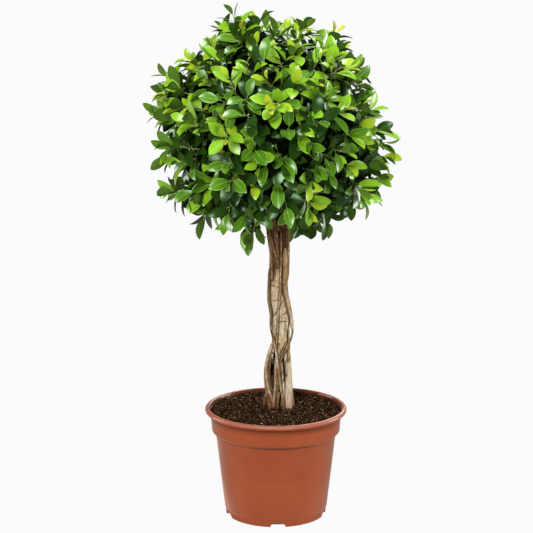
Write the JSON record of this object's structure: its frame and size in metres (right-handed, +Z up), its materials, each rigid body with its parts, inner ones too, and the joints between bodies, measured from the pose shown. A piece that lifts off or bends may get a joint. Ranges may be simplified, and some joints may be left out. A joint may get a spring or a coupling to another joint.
{
  "type": "standard lollipop topiary",
  "caption": "Round clipped head of small glossy leaves on a bare stem bound with grown-on roots, planted in soil in a tapered plastic nursery pot with a rolled rim.",
  "frame": {"origin": "middle of the pot's flat underside, on the surface that the pot stands on", "axes": "+Z up along the pot's axis; -Y is the front that the picture was taken from"},
  "size_m": [0.5101, 0.4838, 0.9751],
  "materials": {
    "pot": "satin terracotta-coloured plastic",
    "soil": "moist crumbly potting soil",
    "bark": "pale rough bark",
    "leaves": "glossy leaves"
  },
  "bodies": {
    "root": {"pot": "pot", "soil": "soil", "trunk": "bark", "bough_lower_1": "bark", "bough_lower_2": "bark", "bough_lower_3": "bark", "bough_lower_4": "bark", "bough_lower_5": "bark", "bough_upper_1": "bark", "bough_upper_2": "bark", "bough_upper_3": "bark", "bough_upper_4": "bark", "bough_upper_5": "bark", "bough_top": "bark", "foliage_lower_1": "leaves", "foliage_lower_2": "leaves", "foliage_lower_3": "leaves", "foliage_lower_4": "leaves", "foliage_lower_5": "leaves", "foliage_upper_1": "leaves", "foliage_upper_2": "leaves", "foliage_upper_3": "leaves", "foliage_upper_4": "leaves", "foliage_upper_5": "leaves", "foliage_top": "leaves"}
  },
  "joints": []
}
